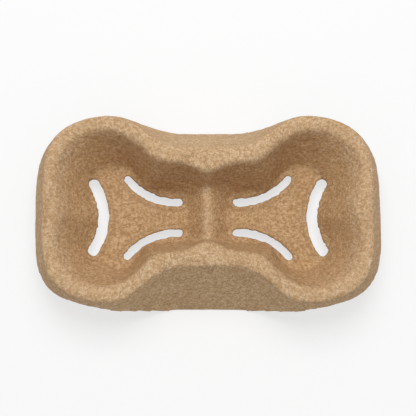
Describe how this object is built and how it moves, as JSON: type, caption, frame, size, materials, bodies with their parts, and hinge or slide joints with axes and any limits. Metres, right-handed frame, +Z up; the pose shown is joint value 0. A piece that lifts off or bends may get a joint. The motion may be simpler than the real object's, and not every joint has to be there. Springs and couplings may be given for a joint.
{
  "type": "cup carrier",
  "caption": "Moulded paper-pulp carrier with a pocket for a cup at each side of a low ridge, three floor slots in each pocket and a flared skirt.",
  "frame": {"origin": "centre of the carrier's outline, on the surface that the foot of its skirt stands on", "axes": "+X runs along the carrier from the left pocket to the right one, +Y runs across it to the back, +Z is up, out of the pockets"},
  "size_m": [0.2162, 0.1238, 0.047],
  "materials": {
    "pulp": "matte, fibrous moulded paper pulp in its natural brown"
  },
  "bodies": {
    "root": {"carrier": "pulp"}
  },
  "joints": []
}
